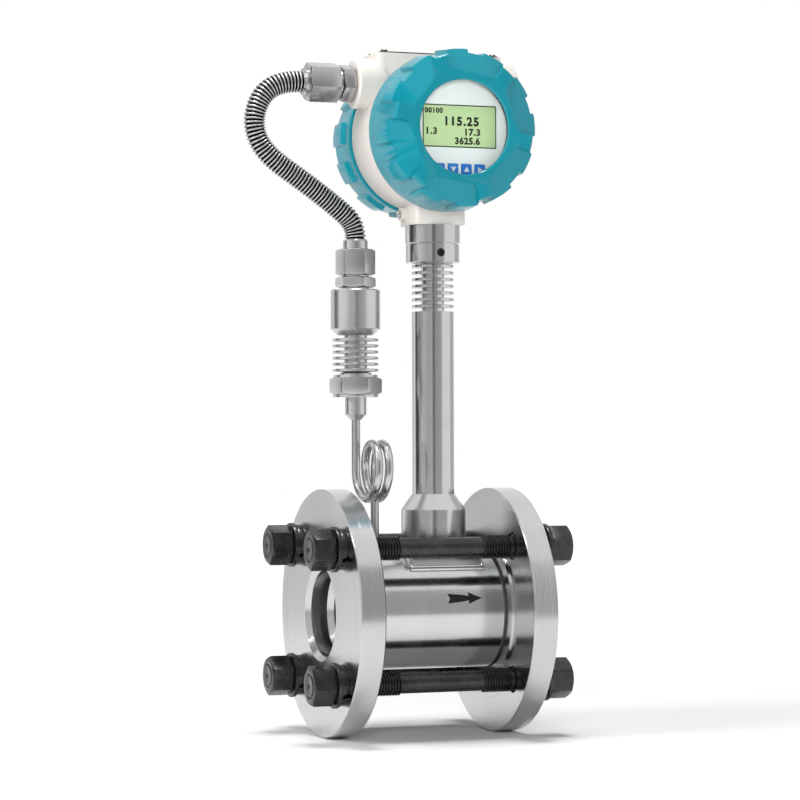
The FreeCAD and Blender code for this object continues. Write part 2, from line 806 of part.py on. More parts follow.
def ground_screw():
    seat = V(-stem_length / 2 - ground_boss_height, ground_boss_y, -ground_boss_drop)
    head = turned([(0, 0), (ground_screw_d / 2, 0), (ground_screw_d / 2, ground_screw_head * 0.6),
                   (ground_screw_d / 2 - 0.6, ground_screw_head), (0, ground_screw_head)], seat, -X)
    slot = block(1.6, ground_screw_d, 0.8, seat - X * ground_screw_head)
    shank = rod(ground_screw_d * 0.5 - 2 * thread_gap, 7, seat, X)
    return in_head(head.cut(slot).fuse(shank))


# Caps, built along their own axis from the head's centre outwards

def cap_radius(h):
    """The cap's outer radius at a distance from the head's centre: it tapers to its front."""
    back = barrel_width / 2 + cap_gap
    return cap_d / 2 - (cap_d - cap_front_d) / 2 * (h - back) / (cap_reach - cap_round - back)


def cap_shell(windowed):
    back = barrel_width / 2 + cap_gap
    cavity, thread = cap_cavity_d / 2, neck_thread_d / 2 + cap_thread_gap
    thread_end, inside = back + cap_thread_depth, cap_reach - cap_plate
    recess, lip = seal_recess_d / 2, window_d / 2
    front_r = cap_front_d / 2
    soft = cap_round * (1 - math.sqrt(0.5))
    outer = [(recess, back), (cap_d / 2 - 0.6, back), (cap_radius(back + 0.6), back + 0.6),
             (front_r, cap_reach - cap_round),
             ((front_r - soft, cap_reach - soft), (front_r - cap_round, cap_reach))]
    if windowed:
        seat = lip + window_seat
        face = [(lip + 1, cap_reach), (lip, cap_reach - 1), (lip, cap_reach - window_lip),
                (seat, cap_reach - window_lip), (seat, inside)]
    else:
        face = [(0, cap_reach), (0, inside)]
    inner = [(cavity, inside), (cavity, thread_end), (thread, thread_end),
             (thread, back + seal_recess_depth), (recess, back + seal_recess_depth)]
    return turned(outer + face + inner)


def cap_pads():
    """Raised grip pads round the side, cut from one ring."""
    inner = cap_cavity_d / 2 + 4
    start, end = pad_start, pad_end
    band = turned([(inner, start), (cap_radius(start), start), (cap_radius(start + 1.2) + pad_rise, start + 1.2),
                   (cap_radius(end - 0.8) + pad_rise, end - 0.8), (cap_radius(end), end), (inner, end)])
    bars = around(block(cap_d, pad_span, cap_reach, V(cap_d / 2, 0, cap_reach / 2)), pad_count, V(0, 0, 0), Z, pad_phase)
    return band.common(Part.makeCompound(bars)).Solids


def cap_pockets():
    """Shallow pockets in the front rim, each from one pad to the next: a straight inner wall and a sloping floor."""
    floor = cap_reach - pocket_depth
    reach = cap_d / 2 + pad_rise + 1 - pocket_inner
    drop = reach * math.tan(math.radians(pocket_slope))
    inner, outer = pocket_inner - 1, pocket_inner + reach
    ring_tool = turned([(inner, floor), (pocket_inner, floor), (outer, floor - drop), (outer, cap_reach + 1),
                        (inner, cap_reach + 1)])
    spread = math.tan(math.radians(pocket_half_turn))
    corners = [V(pocket_inner, -pocket_inner * spread, 0), V(outer, -outer * spread, 0),
               V(outer, outer * spread, 0), V(pocket_inner, pocket_inner * spread, 0)]
    wedge = Part.Face(Part.makePolygon(corners + corners[:1])).extrude(V(0, 0, 2 * cap_reach))
    rounded = [e for e in wedge.Edges if abs(e.tangentAt(e.FirstParameter).dot(Z)) > 0.99
               and e.BoundBox.XMax < pocket_inner + 0.1]
    wedges = around(wedge.makeFillet(pocket_corner, rounded), pocket_count, V(0, 0, 0), Z, pocket_phase)
    return [ring_tool.common(one) for one in wedges]


def cap(windowed, axis):
    shell = cap_shell(windowed).fuse(cap_pads()).cut(cap_pockets())
    return in_head(place(shell, V(0, 0, 0), axis))


def window():
    glass_d = window_d + 2 * window_seat - 0.3
    low = cap_reach - window_lip - window_gasket_thickness - window_glass
    return in_head(turned([(0, low), (glass_d / 2, low), (glass_d / 2, low + window_glass - 0.4),
                           (glass_d / 2 - 0.4, low + window_glass), (0, low + window_glass)], V(0, 0, 0), BACK))


def window_gasket():
    low = cap_reach - window_lip - window_gasket_thickness
    return in_head(place(ring(window_d + 2 * window_seat - 0.3, window_d + 0.6, window_gasket_thickness, V(0, 0, low)),
                         V(0, 0, 0), BACK))


def window_ring():
    top = cap_reach - cap_plate
    low = top - window_ring_thickness
    outer = cap_cavity_d / 2 - thread_gap
    return in_head(turned([(window_ring_bore / 2, low), (outer, low), (outer, top), (window_ring_bore / 2 - 2, top),
                           (window_ring_bore / 2 - 2, top - 0.8)], V(0, 0, 0), BACK))


def cap_seal(axis):
    back = barrel_width / 2 + cap_gap
    low = barrel_width / 2 + 0.2
    outer, inner = seal_recess_d / 2 - seal_gap, neck_thread_d / 2 + 0.15
    high = back + seal_recess_depth - seal_gap
    return in_head(turned([(inner, low), (outer - 0.5, low), (outer, low + 0.5), (outer, high - 0.5),
                           (outer - 0.5, high), (inner, high)], V(0, 0, 0), axis))


# Display stack, laid along the cap's axis: h is the distance from the head's centre to the front

def slab(length, height, depth, x, z, front, corner=0.0):
    """A plate that faces the reader, with its front face at a distance h from the head's centre."""
    return block(length, depth, height, V(x, -front + depth / 2, z), corner, Y)


def key_x(k):
    return (k - (key_count - 1) / 2) * key_pitch


def dial_plate():
    plate = rod(dial_d, dial_thickness, V(0, -dial_front, 0), Y)
    cuts = [slab(display_length + 0.4, display_height + 0.4, 4, 0, display_rise, dial_front + 1)]
    cuts += [slab(key_size + 2 * key_gap, key_size + 2 * key_gap, 4, key_x(k), -key_drop, dial_front + 1, 1.0)
             for k in range(key_count)]
    return in_head(plate.cut(cuts))


def display():
    return in_head(slab(display_length, display_height, dial_front + display_proud - display_board_front,
                        0, display_rise, dial_front + display_proud))


def push_key(k):
    return in_head(slab(key_size, key_size, key_depth, key_x(k), -key_drop, dial_front + key_proud, 0.9))


def board(front, parts):
    """A round circuit board with the standoffs' holes and a few parts on its face."""
    body = rod(board_d, board_thickness, V(0, -front, 0), Y)
    holes = [rod(standoff_d * 0.5, CLEAR, V(0, -CLEAR / 2, 0) + spot, Y) for spot in standoff_places()]
    return in_head(body.fuse(parts).cut(holes))


def standoff_places():
    r = standoff_circle / 2
    return [V(r * math.cos(math.radians(a)), 0, r * math.sin(math.radians(a))) for a in standoff_angles]


def display_board():
    switches = [slab(switch_size, switch_size, switch_height, key_x(k), -key_drop, display_board_front + switch_height)
                for k in range(key_count)]
    return board(display_board_front, switches)


def main_board():
    front = main_board_front
    chip = slab(chip_size, chip_size, chip_height, chip_x, chip_z, front + chip_height)
    relay = slab(relay_length, relay_width, relay_height, relay_x, relay_z, front + relay_height)
    capacitor = rod(capacitor_d, capacitor_height, V(capacitor_x, -front, capacitor_z), BACK)
    return board(front, [chip, relay, capacitor])


def standoffs():
    """Pillars from the wall to each board and on to the dial plate."""
    levels = [(wall_front, main_board_front - board_thickness),
              (main_board_front, display_board_front - board_thickness),
              (display_board_front, dial_front - dial_thickness)]
    made = [rod(standoff_d, high - low, V(0, -low, 0) + spot, BACK) for low, high in levels for spot in standoff_places()]
    return in_head(Part.makeCompound(made))


def terminal_block():
    """A row of screw terminals on the back of the wall, for the power and signal wires."""
    back = wall_thickness - wall_front
    body = block(terminal_length, terminal_depth, terminal_height, V(0, back + terminal_depth / 2, 0))
    pitch = terminal_length / terminal_count
    cuts = []
    for k in range(terminal_count):
        x = (k - (terminal_count - 1) / 2) * pitch
        for side in (-1, 1):
            cuts.append(rod(pitch * 0.6, 3, V(x, back + terminal_depth - 3, side * terminal_height / 4), Y))
    return in_head(body.cut(cuts))


def nodes():
    """Every piece by name."""
    inlet, outlet = V(0, 0, 0), V(run_end, 0, 0)
    low_end = V(siphon_x, 0, 0)
    made = {
        "inlet_flange": flange(inlet, X),
        "outlet_flange": flange(outlet, -X),
        "inlet_gasket": gasket(raised_face_x),
        "outlet_gasket": gasket(body_end),
        "meter_body": meter_body(),
        "shedder_bar": shedder_bar(),
        "vortex_probe": vortex_probe(),
        "siphon_boss": siphon_boss(),
        "studs": studs(),
        "inlet_nuts": nuts(0, -X, (9, 0, 22, 50)),
        "outlet_nuts": nuts(run_end, X, (31, 12, 4, 17)),
        "inlet_flat_washers": flat_washers(0, -X),
        "outlet_flat_washers": flat_washers(run_end, X),
        "inlet_spring_washers": spring_washers(0, -X, 240),
        "outlet_spring_washers": spring_washers(run_end, X, 75),
        "mounting_pad": mounting_pad(),
        "weld_bead": weld_bead(),
        "post_base": post_base(),
        "post_tube": post_tube(),
        "finned_neck": finned_neck(),
        "clamp_collar": clamp_collar(),
        "set_screw": set_screw(),
        "swivel_collar": swivel_collar(),
        "siphon_tube": siphon_tube(),
        "siphon_union": siphon_union(),
        "sensor_hex_base": sensor_hex_base(),
        "sensor_capsule": sensor_capsule(),
        "sensor_cooling_fins": sensor_cooling_fins(),
        "sensor_case": sensor_case(),
        "sensor_board": sensor_board(),
        "lock_nut": threaded_nut(lock_nut_flats, lock_nut_height, conduit_stub_d, low_end + Z * lock_nut_z, Z, lock_nut_turn),
        "lower_conduit_nut": threaded_nut(conduit_nut_flats, lower_nut_height, conduit_stub_d,
                                          low_end + Z * lower_nut_z, Z, lower_nut_turn),
        "lower_ferrule": ferrule(ferrule_d, ferrule_bore, ferrule_height, low_end + Z * ferrule_z, Z),
        "flexible_conduit": flexible_conduit(),
        "upper_ferrule": ferrule(upper_ferrule_d, ferrule_bore, upper_ferrule,
                                 V(upper_ferrule_x, 0, conduit_top_z), -X),
        "upper_conduit_nut": threaded_nut(upper_nut_flats, upper_nut_length, conduit_stub_d,
                                          V(upper_nut_x, 0, conduit_top_z), -X, upper_nut_turn),
        "entry_adapter": entry_adapter(),
        "housing": housing(),
        "top_plate": top_plate(),
        "plate_screws": plate_screws(),
        "ground_screw": ground_screw(),
        "front_cap": cap(True, BACK),
        "front_window": window(),
        "window_gasket": window_gasket(),
        "window_ring": window_ring(),
        "front_cap_seal": cap_seal(BACK),
        "rear_cap": cap(False, Y),
        "rear_cap_seal": cap_seal(Y),
        "dial_plate": dial_plate(),
        "display": display(),
        "display_board": display_board(),
        "main_board": main_board(),
        "standoffs": standoffs(),
        "terminal_block": terminal_block(),
    }
    for k, name in enumerate(("enter_key", "down_key", "up_key", "right_key")):
        made[name] = push_key(k)
    return made


def main():
    os.makedirs("parts", exist_ok=True)
    for name, shape in nodes().items():
        if not shape.isValid() or not shape.Solids:
            raise ValueError(name + " isn't a valid solid")
        shape.exportStep("parts/" + name + ".step")
        print(name, len(shape.Solids), round(shape.Volume, 1))


main()
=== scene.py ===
import bpy
import bmesh
import json
import math
from mathutils import Matrix, Vector

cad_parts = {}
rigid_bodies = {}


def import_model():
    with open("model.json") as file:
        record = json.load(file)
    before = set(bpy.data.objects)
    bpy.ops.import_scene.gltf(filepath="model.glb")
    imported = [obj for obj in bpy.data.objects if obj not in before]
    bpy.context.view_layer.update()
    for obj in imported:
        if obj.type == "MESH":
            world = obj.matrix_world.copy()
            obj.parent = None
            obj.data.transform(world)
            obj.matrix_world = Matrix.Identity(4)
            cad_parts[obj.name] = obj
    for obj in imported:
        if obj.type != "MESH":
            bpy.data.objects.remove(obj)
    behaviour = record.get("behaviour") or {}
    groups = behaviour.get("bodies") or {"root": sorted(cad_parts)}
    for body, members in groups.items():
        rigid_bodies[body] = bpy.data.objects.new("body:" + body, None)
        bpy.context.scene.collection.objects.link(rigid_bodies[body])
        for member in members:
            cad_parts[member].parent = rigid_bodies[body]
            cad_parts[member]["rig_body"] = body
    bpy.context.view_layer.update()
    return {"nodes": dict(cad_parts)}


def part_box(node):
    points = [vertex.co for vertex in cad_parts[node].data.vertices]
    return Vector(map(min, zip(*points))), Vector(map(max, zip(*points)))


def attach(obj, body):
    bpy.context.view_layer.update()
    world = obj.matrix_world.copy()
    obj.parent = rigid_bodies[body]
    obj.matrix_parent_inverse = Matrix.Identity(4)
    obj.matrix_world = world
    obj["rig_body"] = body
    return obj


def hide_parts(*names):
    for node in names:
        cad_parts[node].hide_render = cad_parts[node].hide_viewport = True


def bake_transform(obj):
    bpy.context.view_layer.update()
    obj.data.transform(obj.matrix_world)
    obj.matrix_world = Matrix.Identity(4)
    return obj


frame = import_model()
cadNodes = frame["nodes"]
nodeBody = {name: node["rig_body"] for name, node in cadNodes.items()}
print("frame loaded:", len(cadNodes), "nodes")

mm = 0.001
postX = 0.081       # the post and the head stand on this line
sensorX = 0.0255    # the siphon's upper leg and the sensor
conduitZ = 0.354    # height of the head's two entries


# the camera stands where the photograph was taken from: metres, degrees and millimetres of lens
cameraView = {"place": (-0.5933, -1.7442, 0.1152), "yaw": 20.45, "tilt": 0.83, "roll": -0.17, "lens": 124.4,
              "sensor": 36.0, "near": 0.05, "far": 30.0}


def makeCamera(view):
    yaw, tilt = math.radians(view["yaw"]), math.radians(view["tilt"])
    forward = Vector((math.sin(yaw) * math.cos(tilt), math.cos(yaw) * math.cos(tilt), math.sin(tilt)))
    turn = forward.to_track_quat("-Z", "Y").to_matrix().to_4x4()
    roll = Matrix.Rotation(math.radians(view["roll"]), 4, "Z")
    data = bpy.data.cameras.new("camera")
    data.lens, data.sensor_width = view["lens"], view["sensor"]
    data.clip_start, data.clip_end = view["near"], view["far"]
    camera = bpy.data.objects.new("camera", data)
    bpy.context.scene.collection.objects.link(camera)
    camera.matrix_world = Matrix.Translation(view["place"]) @ turn @ roll
    bpy.context.scene.camera = camera


makeCamera(cameraView)
print("camera placed")


class Wire:
    # wraps a socket, so that shader maths reads as plain sums
    def __init__(self, shader, socket):
        self.shader, self.socket = shader, socket

    def maths(self, operation, other, swapped=False):
        pair = (other, self) if swapped else (self, other)
        return self.shader.add("ShaderNodeMath", {"operation": operation}, {0: pair[0], 1: pair[1]})

    def __add__(self, other): return self.maths("ADD", other)
    def __radd__(self, other): return self.maths("ADD", other, True)
    def __sub__(self, other): return self.maths("SUBTRACT", other)
    def __rsub__(self, other): return self.maths("SUBTRACT", other, True)
    def __mul__(self, other): return self.maths("MULTIPLY", other)
    def __rmul__(self, other): return self.maths("MULTIPLY", other, True)
    def __pow__(self, other): return self.maths("POWER", other)

    def root(self): return self ** 0.5
    def larger(self, other): return self.maths("MAXIMUM", other)


class Shader:
    def __init__(self, name, world=None):
        self.material = world or bpy.data.materials.new(name)
        self.material.use_nodes = True
        self.tree = self.material.node_tree
        self.surface = self.tree.nodes.get("Principled BSDF")

    def add(self, kind, settings=None, inputs=None, output=0):
        node = self.tree.nodes.new(kind)
        for key, value in (settings or {}).items():
            if key == "stops":
                ramp = node.color_ramp
                while len(ramp.elements) < len(value):
                    ramp.elements.new(0.5)
                for stop, (place, color) in zip(ramp.elements, value):
                    stop.position, stop.color = place, (*color, 1.0)
            else:
                setattr(node, key, value)
        for key, value in (inputs or {}).items():
            self.feed(node.inputs[key], value)
        return Wire(self, node.outputs[output])

    def feed(self, socket, value):
        if isinstance(value, Wire):
            self.tree.links.new(value.socket, socket)
        elif isinstance(value, tuple) and len(value) == 3 and socket.type == "RGBA":
            socket.default_value = (*value, 1.0)
        else:
            socket.default_value = value

    def point(self):
        return self.add("ShaderNodeTexCoord", output="Object")

    def split(self, vector):
        first = self.add("ShaderNodeSeparateXYZ", {}, {0: vector})
        return [Wire(self, socket) for socket in first.socket.node.outputs]

    def join(self, x, y, z):
        return self.add("ShaderNodeCombineXYZ", {}, {0: x, 1: y, 2: z})

    def noise(self, vector, scale, detail=3.0, roughness=0.55):
        return self.add("ShaderNodeTexNoise", {}, {"Vector": vector, "Scale": scale, "Detail": detail,
                                                   "Roughness": roughness})

    def ramp(self, factor, stops):
        return self.add("ShaderNodeValToRGB", {"stops": stops}, {0: factor})

    def blend(self, factor, first, second):
        return self.add("ShaderNodeMix", {"data_type": "RGBA"}, {0: factor, 6: first, 7: second}, 2)

    def bump(self, height, distance):
        return self.add("ShaderNodeBump", {}, {"Height": height, "Distance": distance, "Strength": 1.0})

    def rays(self, *kinds):
        # 1 for rays of any of these kinds, and 0 for the rest
        first, *others = [self.add("ShaderNodeLightPath", output=kind) for kind in kinds]
        for other in others:
            first = first.larger(other)
        return first

    def mixShaders(self, factor, first, second):
        # both shaders by the factor, and straight on to the material's output
        mixed = self.add("ShaderNodeMixShader", {}, {0: factor, 1: first, 2: second})
        self.feed(self.tree.nodes["Material Output"].inputs["Surface"], mixed)
        return self.material

    def set(self, **values):
        names = {"color": "Base Color", "metal": "Metallic", "rough": "Roughness", "normal": "Normal",
                 "coat": "Coat Weight", "coatRough": "Coat Roughness", "specular": "Specular IOR Level",
                 "glow": "Emission Color", "glowStrength": "Emission Strength"}
        for key, value in values.items():
            self.feed(self.surface.inputs[names[key]], value)
        return self.material


# the finishes: each look's dark and light colours are mixed by a cloudy noise

def turnedSteel(name, axis, centre, look):
    # lathe-turned metal: fine rings on faces and fine bands on cylinders about one axis
    s = Shader(name)
    x, y, z = s.split(s.point())
    if axis == "X":
        along, a, b = x, y, z - centre[2]
    else:
        along, a, b = z, x - centre[0], y - centre[1]
    radius = (a * a + b * b).root()
    rings = s.noise(s.join(along * look["lines"], radius * look["lines"], 0.0), 1.0, 2.0)
    broad = s.noise(s.join(along * look["bands"], radius * look["bands"], 0.0), 1.0, 1.0)
    cloud = s.noise(s.point(), look["patches"])
    rough = rings * look["ringRough"] + cloud * look["cloudRough"] + look["rough"]
    tone = s.blend(broad * 0.5 + rings * 0.5, look["dark"], look["light"])
    return s.set(color=tone, metal=1.0, rough=rough, normal=s.bump(rings, look["depth"]))


def brushedSteel(name, look):
    # drawn or wiped metal with fine scratches that run along Z
    s = Shader(name)
    x, y, z = s.split(s.point())
    grain = s.noise(s.join(x * look["across"], y * look["across"], z * look["along"]), 1.0, 2.0)
    cloud = s.noise(s.point(), look["patches"])
    tone = s.blend(cloud, look["dark"], look["light"])
    return s.set(color=tone, metal=1.0, rough=grain * look["grain"] + look["rough"],
                 normal=s.bump(grain, look["depth"]))


def grooveShadedSteel(name, look):
    # the conduit's strip: its steel colour is ramped by ridge height, painted shade that turns near black down in its
    # grooves
    s = Shader(name)
    height = s.add("ShaderNodeAttribute", {"attribute_name": "ridge"}, output=2)
    cloud = s.noise(s.point(), look["patches"], 2.0)
    return s.set(color=s.ramp(height, look["heights"]), metal=look["metal"],
                 rough=cloud * look["cloudRough"] + look["rough"], normal=s.bump(cloud, look["depth"]))


def blackedSteel(name, look):
    # hot-blacked bolts: an oily sheen, a little paler where the coating is thin
    s = Shader(name)
    cloud = s.noise(s.point(), look["patches"], 4.0, 0.65)
    wide = s.noise(s.point(), look["broad"], 2.0)
    tone = s.blend(cloud * wide * look["worn"], look["dark"], look["light"])
    rough = cloud * look["cloudRough"] + wide * look["wideRough"] + look["rough"]
    return s.set(color=tone, metal=look["metal"], rough=rough, specular=look["specular"],
                 normal=s.bump(cloud, look["depth"]))


def enamel(name, look):
    # sprayed enamel over a casting: slight orange peel, softer in patches
    s = Shader(name)
    peel = s.noise(s.point(), look["peelScale"], 2.0)
    cloud = s.noise(s.point(), look["patches"], 2.0)
    return s.set(color=s.blend(cloud, look["dark"], look["light"]), metal=0.0, specular=look["specular"],
                 rough=peel * look["cloudRough"] + cloud * look["cloudRough"] + look["rough"],
                 coat=look["coat"], coatRough=look["coatRough"], normal=s.bump(peel, look["peel"]))


def plainFinish(name, dark, light, rough, **extra):
    look = {"patches": 120.0, "cloudRough": 0.1, "peel": 0.00001, "metal": 0.0, "specular": 0.5, **extra}
    s = Shader(name)
    cloud = s.noise(s.point(), look["patches"])
    return s.set(color=s.blend(cloud, dark, light), metal=look["metal"], rough=cloud * look["cloudRough"] + rough,
                 specular=look["specular"], normal=s.bump(cloud, look["peel"]))


def clearGlass(name, look):
    # toughened glass: clear face on, and a little more of a mirror edge on
    s = Shader(name)
    smear = s.noise(s.point(), look["smears"], 2.0)
    clear = s.add("ShaderNodeBsdfTransparent", {}, {0: look["tint"]})
    gloss = s.add("ShaderNodeBsdfGlossy", {}, {"Roughness": smear * look["smearRough"] + look["rough"]})
    edgeOn = s.add("ShaderNodeLayerWeight", {}, {"Blend": 0.5}, 1)
    return s.mixShaders(edgeOn ** look["falloff"] * look["edge"] + look["face"], clear, gloss)


steelLook = {"lines": 2600.0, "bands": 60.0, "patches": 45.0, "ringRough": 0.09, "cloudRough": 0.05,
             "rough": 0.10, "depth": 0.000006, "dark": (0.55, 0.55, 0.555), "light": (0.68, 0.68, 0.68)}
fineLook = dict(steelLook, lines=3600.0, rough=0.13, depth=0.000004)
satinLook = dict(steelLook, lines=1800.0, rough=0.12, depth=0.00009,
                 dark=(0.50, 0.50, 0.505), light=(0.64, 0.64, 0.64))
entryLook = dict(fineLook, dark=(0.40, 0.40, 0.40), light=(0.54, 0.54, 0.54))
rubLook = {"across": 900.0, "along": 60.0, "patches": 60.0, "rough": 0.20, "grain": 0.08, "depth": 0.000003,
           "dark": (0.48, 0.48, 0.48), "light": (0.62, 0.62, 0.62)}
plateLook = dict(rubLook, dark=(0.10, 0.09, 0.085), light=(0.20, 0.185, 0.175))
# the ramp by ridge height paints shade into the conduit: darker on the flanks, near black in the groove floors
conduitLook = {"heights": [(0.34, (0.010, 0.010, 0.010)), (0.80, (0.22, 0.22, 0.22)), (1.0, (0.62, 0.62, 0.62))],
               "patches": 300.0, "metal": 0.9, "rough": 0.26, "cloudRough": 0.12, "depth": 0.00001}
boltLook = {"dark": (0.028, 0.028, 0.029), "light": (0.072, 0.072, 0.074), "worn": 2.2, "patches": 260.0,
            "broad": 55.0, "rough": 0.15, "cloudRough": 0.14, "wideRough": 0.12, "metal": 0.92,
            "specular": 0.6, "depth": 0.00003}
castLook = {"dark": (0.585, 0.55, 0.51), "light": (0.665, 0.63, 0.59), "rough": 0.34, "cloudRough": 0.06,
            "specular": 0.4, "coat": 0.1, "coatRough": 0.06, "patches": 25.0, "peel": 0.00006, "peelScale": 420.0}
capLook = dict(castLook, dark=(0.001, 0.200, 0.258), light=(0.002, 0.240, 0.305), rough=0.32, specular=0.10,
               coat=0.55, peelScale=380.0)
glassLook = {"tint": (0.96, 0.985, 0.98), "smears": 30.0, "rough": 0.01, "smearRough": 0.02,
             "falloff": 4, "edge": 0.5, "face": 0.025}
materials = {
    "pipe": turnedSteel("pipeSteel", "X", (0, 0, 0), steelLook),
    "flange": turnedSteel("flangeSteel", "X", (0, 0, 0), satinLook),
    "post": turnedSteel("postSteel", "Z", (postX, 0, 0), fineLook),
    "sensor": turnedSteel("sensorSteel", "Z", (sensorX, 0, 0), dict(fineLook, rough=0.22)),
    "entry": turnedSteel("entrySteel", "X", (0, 0, conduitZ), entryLook),
    "drawn": brushedSteel("drawnSteel", rubLook),
    "plate": brushedSteel("plateSteel", plateLook),
    "conduit": grooveShadedSteel("conduitSteel", conduitLook),
    "bolting": blackedSteel("blackedSteel", boltLook),
    "cast": enamel("offWhiteEnamel", castLook),
    "cap": enamel("turquoiseEnamel", capLook),
    "glass": clearGlass("clearGlass", glassLook),
    "rubber": plainFinish("blackRubber", (0.012, 0.012, 0.012), (0.025, 0.025, 0.025), 0.55),
    "gasket": plainFinish("sheetGasket", (0.06, 0.06, 0.06), (0.12, 0.12, 0.12), 0.6),
    "dial": plainFinish("dialWhite", (0.92, 0.92, 0.92), (0.95, 0.95, 0.95), 0.45),
    "lcd": plainFinish("lcdGreen", (0.58, 0.73, 0.37), (0.63, 0.78, 0.41), 0.25, patches=30.0),
    "ink": plainFinish("printBlack", (0.010, 0.012, 0.010), (0.018, 0.020, 0.018), 0.6, specular=0.15),
    "key": plainFinish("keyBlue", (0.003, 0.17, 0.64), (0.006, 0.21, 0.76), 0.3),
    "mark": plainFinish("keyMark", (0.78, 0.80, 0.82), (0.86, 0.87, 0.88), 0.4),
    "board": plainFinish("boardGreen", (0.01, 0.08, 0.03), (0.02, 0.12, 0.05), 0.4),
    "brass": plainFinish("brassPillar", (0.55, 0.40, 0.16), (0.68, 0.50, 0.22), 0.3, metal=1.0),
    "terminal": plainFinish("terminalBlack", (0.015, 0.017, 0.02), (0.03, 0.032, 0.036), 0.5),
}
print("materials made:", len(materials))

finishOf = {
    "pipe": "meter_body shedder_bar", "flange": "inlet_flange outlet_flange",
    "post": "mounting_pad weld_bead post_base post_tube finned_neck clamp_collar swivel_collar vortex_probe",
    "sensor": "siphon_boss siphon_union sensor_hex_base sensor_capsule sensor_cooling_fins sensor_case "
              "lock_nut lower_conduit_nut lower_ferrule",
    "entry": "upper_ferrule upper_conduit_nut entry_adapter",
    "drawn": "siphon_tube ground_screw",
    "plate": "top_plate plate_screws",
    "conduit": "flexible_conduit",
    "bolting": "studs inlet_nuts outlet_nuts inlet_flat_washers outlet_flat_washers inlet_spring_washers "
               "outlet_spring_washers set_screw",
    "gasket": "inlet_gasket outlet_gasket",
    "rubber": "window_gasket window_ring front_cap_seal rear_cap_seal",
    "cast": "housing", "cap": "front_cap rear_cap", "glass": "front_window", "dial": "dial_plate",
    "lcd": "display", "key": "enter_key down_key up_key right_key",
    "board": "sensor_board display_board main_board", "brass": "standoffs", "terminal": "terminal_block",
}
nodeFinish = {node: finish for finish, names in finishOf.items() for node in names.split()}
for name, node in cadNodes.items():
    node.data.materials.clear()
    node.data.materials.append(materials[nodeFinish[name]])


# tools that the pieces share

def addPiece(name, data):
    piece = bpy.data.objects.new(name, data)
    bpy.context.scene.collection.objects.link(piece)
    return piece


def deselectAll():
    if bpy.context.object and bpy.context.object.mode != "OBJECT":
        bpy.ops.object.mode_set(mode="OBJECT")
    bpy.ops.object.select_all(action="DESELECT")


def makeActive(piece):
    deselectAll()
    piece.select_set(True)
    bpy.context.view_layer.objects.active = piece


def applyModifiers(piece):
    makeActive(piece)
    for name in [m.name for m in piece.modifiers]:
        bpy.ops.object.modifier_apply(modifier=name)


def applyPlace(piece):
    makeActive(piece)
    bpy.ops.object.transform_apply(location=True, rotation=True, scale=True)


def faceOutwards(piece, weld=0.0):
    # joins points that lie within weld of each other, then turns every face outwards
    makeActive(piece)
    bpy.ops.object.mode_set(mode="EDIT")
    bpy.ops.mesh.select_all(action="SELECT")
    if weld:
        bpy.ops.mesh.remove_doubles(threshold=weld)
    bpy.ops.mesh.normals_make_consistent(inside=False)
    bpy.ops.object.mode_set(mode="OBJECT")


def thicken(piece, thickness, offset):
    thick = piece.modifiers.new("thick", "SOLIDIFY")
    thick.thickness, thick.offset = thickness, offset
    applyModifiers(piece)


def finishPiece(piece, name, body, finish, replaced=(), smoothAngle=35):
    makeActive(piece)
    piece.name = piece.data.name = name
    piece.data.materials.clear()
    piece.data.materials.append(materials[finish])
    if smoothAngle:
        bpy.ops.object.shade_smooth_by_angle(angle=math.radians(smoothAngle))
    if body:
        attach(piece, body)
    if replaced:
        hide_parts(*replaced)
    return piece


# the flexible conduit; heights are those of the strip's surface, over one ridge
conduit = {"diameter": 0.0145, "groove": 0.0015, "pitch": 0.00236, "around": 28, "fineness": 60,
           "smoothAngle": 60, "heights": (1.0, 0.92, 0.35, 0.0, 0.35, 0.92)}
conduitTop = Vector((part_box("upper_ferrule")[0].x, 0, conduitZ))
conduitLow = Vector((sensorX, 0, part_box("lower_ferrule")[1].z))
conduitRoute = [conduitTop + Vector((x, 0, z)) * mm for x, z in (
    (0.0, 0.0), (-13.5, 0.0), (-29.0, -9.5), (-35.0, -30.0), (-26.0, -49.0), (1.0, -66.5), (23.5, -82.5))]
conduitRoute += [conduitLow + Vector((0, 0, 0.0104)), conduitLow]


def routePoints(route):
    data = bpy.data.curves.new("conduitLine", "CURVE")
    data.dimensions, data.resolution_u = "3D", conduit["fineness"]
    line = data.splines.new("NURBS")
    line.points.add(len(route) - 1)
    for point, place in zip(line.points, route):
        point.co = (*place, 1.0)
    line.order_u, line.use_endpoint_u = 3, True
    holder = addPiece("conduitLine", data)
    bpy.context.view_layer.update()
    mesh = bpy.data.meshes.new_from_object(holder)
    points = [v.co.copy() for v in mesh.vertices]
    bpy.data.objects.remove(holder)
    return points


def evenSteps(points, step):
    # points at even steps along a line, with its whole length
    lengths = [0.0]
    for a, b in zip(points, points[1:]):
        lengths.append(lengths[-1] + (b - a).length)
    count = max(2, round(lengths[-1] / step))
    found, k = [], 0
    for n in range(count + 1):
        target = lengths[-1] * n / count
        while k < len(points) - 2 and lengths[k + 1] < target:
            k += 1
        share = (target - lengths[k]) / max(1e-12, lengths[k + 1] - lengths[k])
        found.append(points[k].lerp(points[k + 1], min(1.0, share)))
    return found, lengths[-1]


